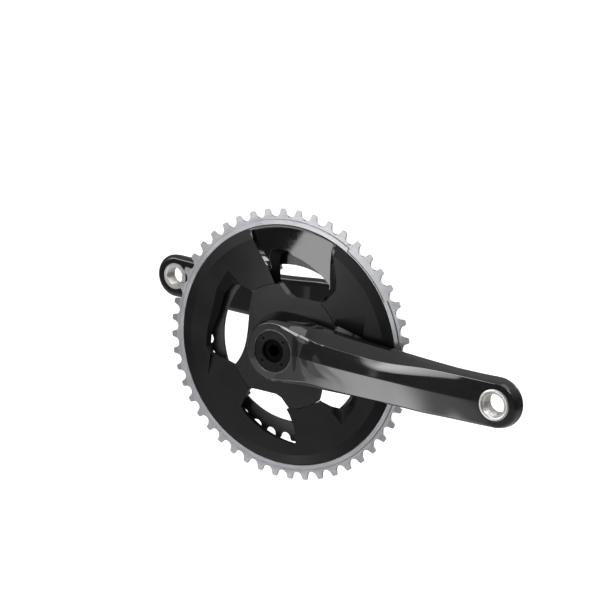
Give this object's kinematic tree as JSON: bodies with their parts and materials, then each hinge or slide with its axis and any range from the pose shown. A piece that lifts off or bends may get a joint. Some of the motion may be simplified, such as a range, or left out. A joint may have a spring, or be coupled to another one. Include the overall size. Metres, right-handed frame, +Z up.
{
  "type": "bicycle crankset",
  "caption": "Two-ring road bicycle crankset: carbon crank arms, spider, toothed chainrings, hollow spindle and threaded bottom bracket with ball bearings that turn.",
  "frame": {"origin": "spin axis at the bicycle's mid-plane, the middle of the bottom-bracket shell", "axes": "+Z up, +X forward and along the drive crank arm at rest, +Y towards the non-drive side, so the chainrings are at -Y"},
  "size_m": [0.3806, 0.145, 0.198],
  "materials": {
    "carbon_arm": "gloss clear-coated black carbon",
    "spider_black": "satin black anodised",
    "outer_ring": "satin black web with machined silver teeth",
    "inner_ring": "satin black anodised",
    "bush_silver": "machined bright aluminium",
    "insert_aluminium": "dark anodised",
    "cap_black": "black anodised",
    "spindle_grey": "hard-anodised grey",
    "bolt_steel": "blackened steel",
    "pin_steel": "bare steel",
    "bearing_steel": "ground bearing steel",
    "ball_steel": "polished",
    "cage_plastic": "moulded",
    "seal_rubber": "matte",
    "cup_black": "black anodised",
    "black_plastic": "moulded"
  },
  "bodies": {
    "bottom_bracket": {"drive_cup": "cup_black", "nondrive_cup": "cup_black", "cup_sleeve": "black_plastic", "drive_bearing_outer_race": "bearing_steel", "nondrive_bearing_outer_race": "bearing_steel", "drive_bearing_seals": "seal_rubber", "nondrive_bearing_seals": "seal_rubber"},
    "crank": {"chain_stop_pin": "pin_steel", "chainring_bolts": "bolt_steel", "crank_bolt": "bolt_steel", "crank_bolt_washer": "pin_steel", "drive_bearing_inner_race": "bearing_steel", "drive_crank_arm": "carbon_arm", "drive_dust_shield": "black_plastic", "drive_pedal_bush": "bush_silver", "drive_spindle_insert": "insert_aluminium", "extractor_cap": "cap_black", "inner_chainring": "inner_ring", "nondrive_bearing_inner_race": "bearing_steel", "nondrive_crank_arm": "carbon_arm", "nondrive_dust_shield": "black_plastic", "nondrive_pedal_bush": "bush_silver", "nondrive_spindle_insert": "insert_aluminium", "outer_chainring": "outer_ring", "shift_pins": "pin_steel", "spider": "spider_black", "spider_bolts": "bolt_steel", "spindle": "spindle_grey"},
    "drive_bearing_cage_body": {"drive_bearing_balls": "ball_steel", "drive_bearing_cage": "cage_plastic"},
    "nondrive_bearing_cage_body": {"nondrive_bearing_balls": "ball_steel", "nondrive_bearing_cage": "cage_plastic"},
    "preload_ring_body": {"preload_adjuster": "black_plastic", "preload_pinch_screw": "pin_steel"}
  },
  "joints": [
    {"name": "crank_spin", "type": "hinge", "parent": "bottom_bracket", "child": "crank", "pos_m": [0, 0, 0], "axis": [0, 1, 0], "continuous": true},
    {"name": "drive_cage_spin", "type": "hinge", "parent": "bottom_bracket", "child": "drive_bearing_cage_body", "pos_m": [0, -0.04, 0], "axis": [0, 1, 0], "continuous": true},
    {"name": "nondrive_cage_spin", "type": "hinge", "parent": "bottom_bracket", "child": "nondrive_bearing_cage_body", "pos_m": [0, 0.04, 0], "axis": [0, 1, 0], "continuous": true},
    {"name": "preload_turn", "type": "hinge", "parent": "crank", "child": "preload_ring_body", "pos_m": [0, 0.049, 0], "axis": [0, 1, 0], "range_deg": [-90, 270]}
  ],
  "couplings": [
    {"joint": "drive_cage_spin", "follows": "crank_spin", "ratio": 0.44366},
    {"joint": "nondrive_cage_spin", "follows": "crank_spin", "ratio": 0.44366}
  ]
}
